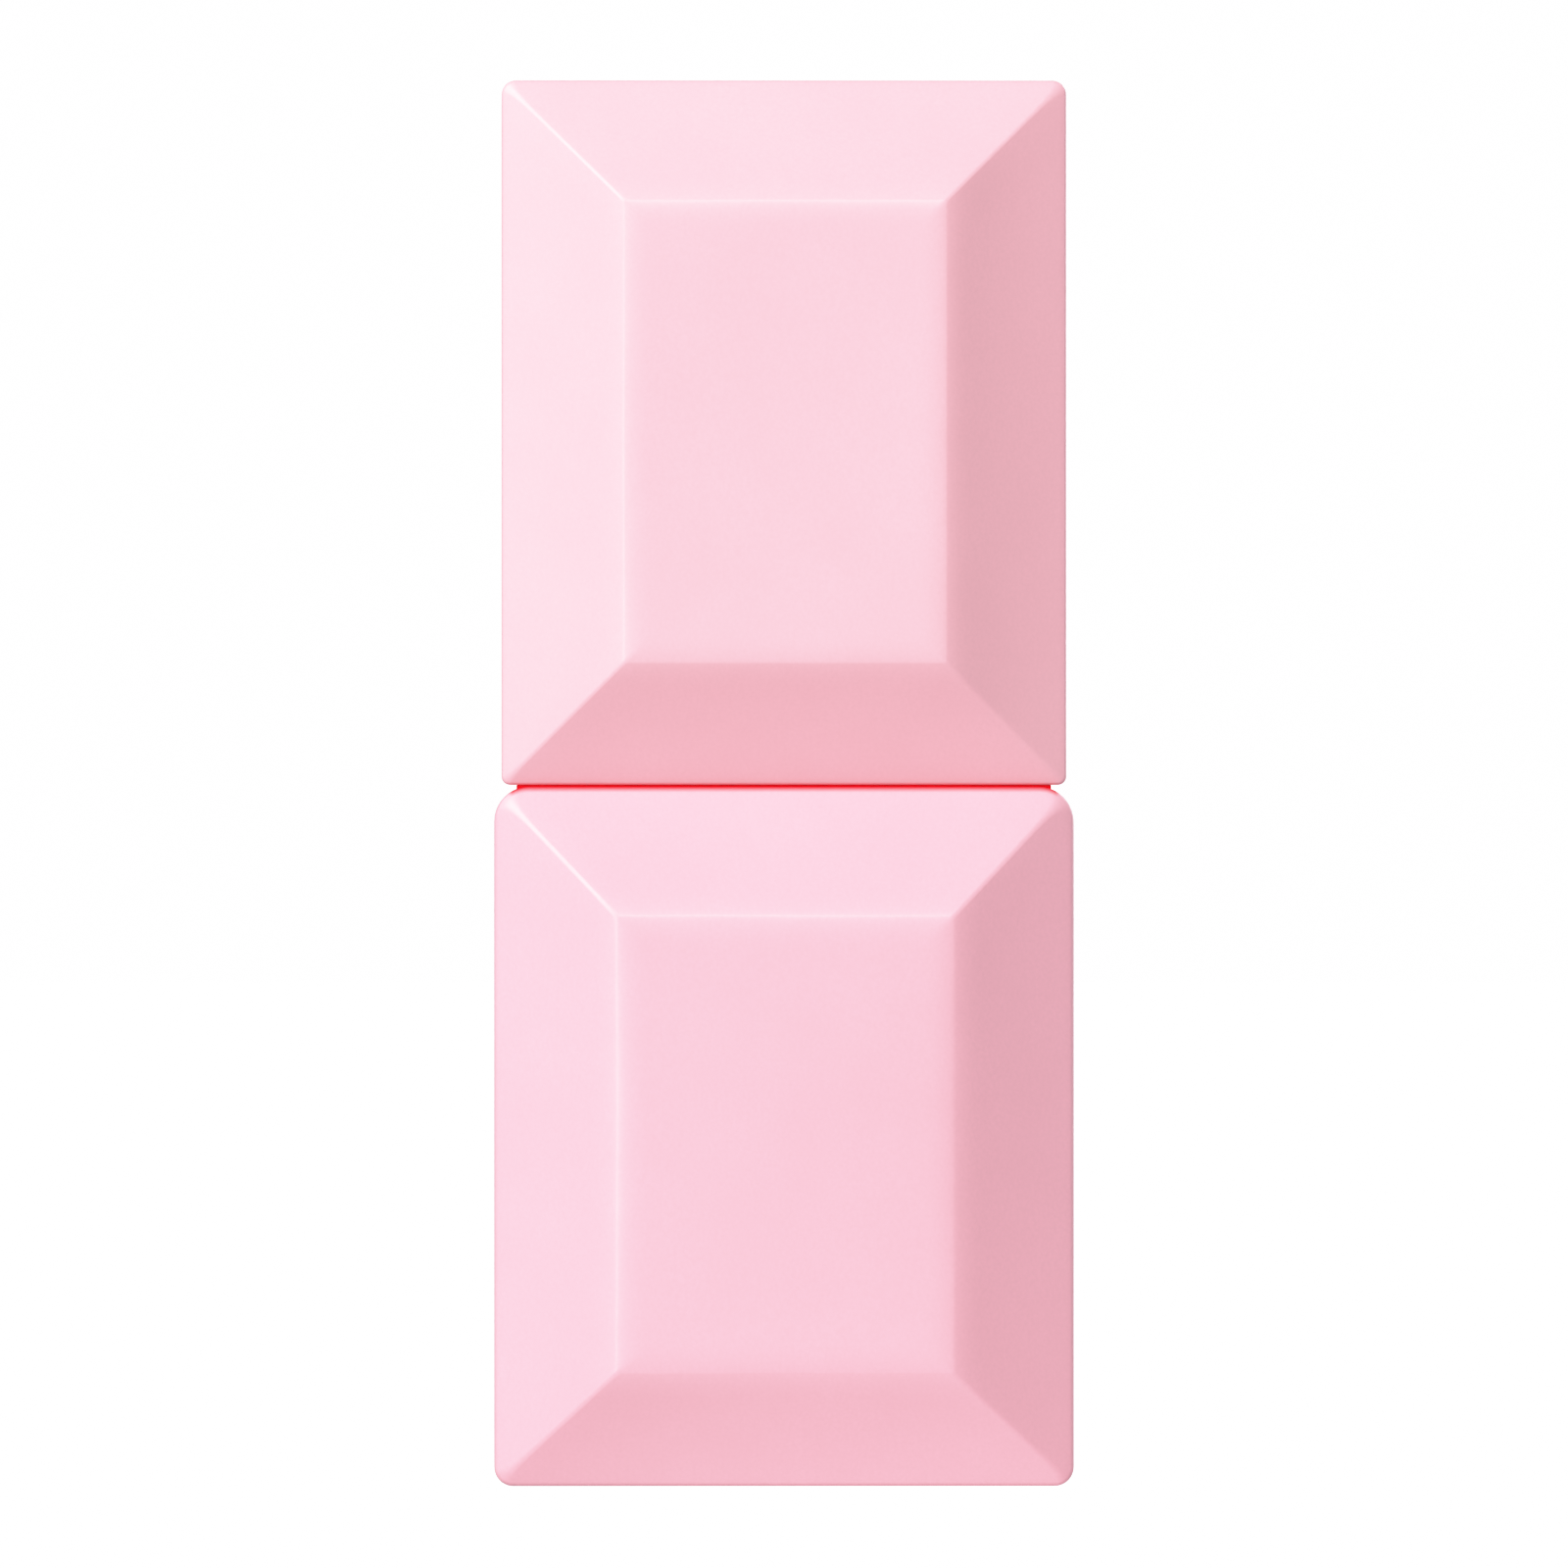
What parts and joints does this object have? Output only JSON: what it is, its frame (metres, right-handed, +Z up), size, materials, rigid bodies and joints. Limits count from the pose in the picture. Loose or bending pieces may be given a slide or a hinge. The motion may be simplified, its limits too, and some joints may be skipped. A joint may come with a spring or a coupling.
{
  "type": "nail polish bottle",
  "caption": "Faceted nail polish bottle with a pull-off block over-cap, a screw closure carrying a brush, and loose mixing balls in the polish.",
  "frame": {"origin": "centre of the base, on the surface the bottle stands on", "axes": "+Z up along the neck, the front tables face -Y, +X to the right of the front"},
  "size_m": [0.033, 0.0294, 0.08],
  "materials": {
    "painted_glass": "satin lacquer on glass",
    "label_paper": "matte",
    "polish": "gloss",
    "ball_steel": "polished",
    "washer_foam": "matte",
    "white_plastic": "satin",
    "staple_wire": "bright wire",
    "bristle_nylon": "wet with polish",
    "closure_plastic": "satin",
    "cap_plastic": "satin",
    "insert_plastic": "satin",
    "weight_metal": "tumbled"
  },
  "bodies": {
    "bottle": {"glass_bottle": "painted_glass", "base_label": "label_paper", "nail_polish": "polish"},
    "balls": {"mixing_balls": "ball_steel"},
    "washer": {"sealing_washer": "washer_foam"},
    "brush": {"brush_stem": "white_plastic", "bristle_staple": "staple_wire", "brush_bristles": "bristle_nylon"},
    "closure": {"inner_closure": "closure_plastic"},
    "over_cap": {"over_cap_shell": "cap_plastic", "over_cap_insert": "insert_plastic", "over_cap_weight": "weight_metal"}
  },
  "joints": [
    {"name": "balls_roll", "type": "slide", "parent": "bottle", "child": "balls", "axis": [1, 0, 0], "range_m": [-0.004, 0.004]},
    {"name": "brush_draw", "type": "slide", "parent": "bottle", "child": "washer", "axis": [0, 0, 1], "range_m": [0, 0.051]},
    {"name": "closure_rise", "type": "slide", "parent": "washer", "child": "brush", "axis": [0, 0, 1], "range_m": [0, 0.0032]},
    {"name": "closure_turn", "type": "hinge", "parent": "brush", "child": "closure", "pos_m": [0, 0, 0.048], "axis": [0, 0, 1], "range_deg": [0, 540]},
    {"name": "over_cap_pull", "type": "slide", "parent": "closure", "child": "over_cap", "axis": [0, 0, 1], "range_m": [0, 0.03]}
  ],
  "couplings": [
    {"joint": "closure_rise", "follows": "closure_turn", "m_per_rad": 0.00033741}
  ]
}
